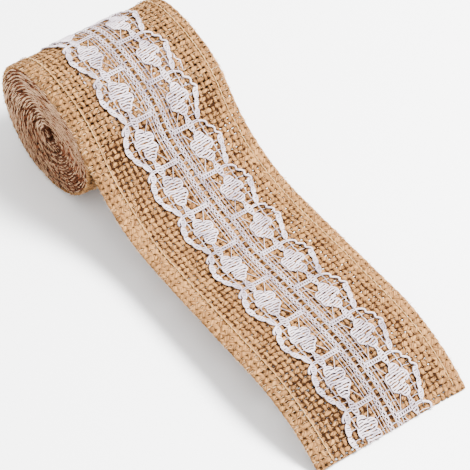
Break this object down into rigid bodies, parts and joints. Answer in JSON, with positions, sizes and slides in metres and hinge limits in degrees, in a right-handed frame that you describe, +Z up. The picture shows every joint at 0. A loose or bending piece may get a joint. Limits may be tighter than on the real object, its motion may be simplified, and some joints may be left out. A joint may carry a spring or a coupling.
{
  "type": "table runner roll",
  "caption": "Roll of hemmed jute burlap table runner with a white scalloped lace trim sewn down its middle; the loose end arches off the roll onto the table.",
  "frame": {"origin": "on the table, in the flat that the roll rests on", "axes": "+X across the strip along the roll's axis, -Y along the loose tail from the roll, +Z up"},
  "size_m": [0.06, 0.188, 0.0474],
  "materials": {
    "jute": "coarse plain-woven natural jute, open holes, matte, slubbed straw-coloured yarns",
    "lace": "white knitted lace, fine net with solid leaf motifs and corded scallops, soft sheen",
    "hem_thread": "natural sewing thread, matte",
    "lace_thread": "off-white sewing thread, matte"
  },
  "bodies": {
    "root": {"wound_jute": "jute", "jute_tail": "jute", "wound_lace": "lace", "tail_lace": "lace", "left_hem_thread": "hem_thread", "right_hem_thread": "hem_thread", "left_lace_thread": "lace_thread", "right_lace_thread": "lace_thread"}
  },
  "joints": []
}
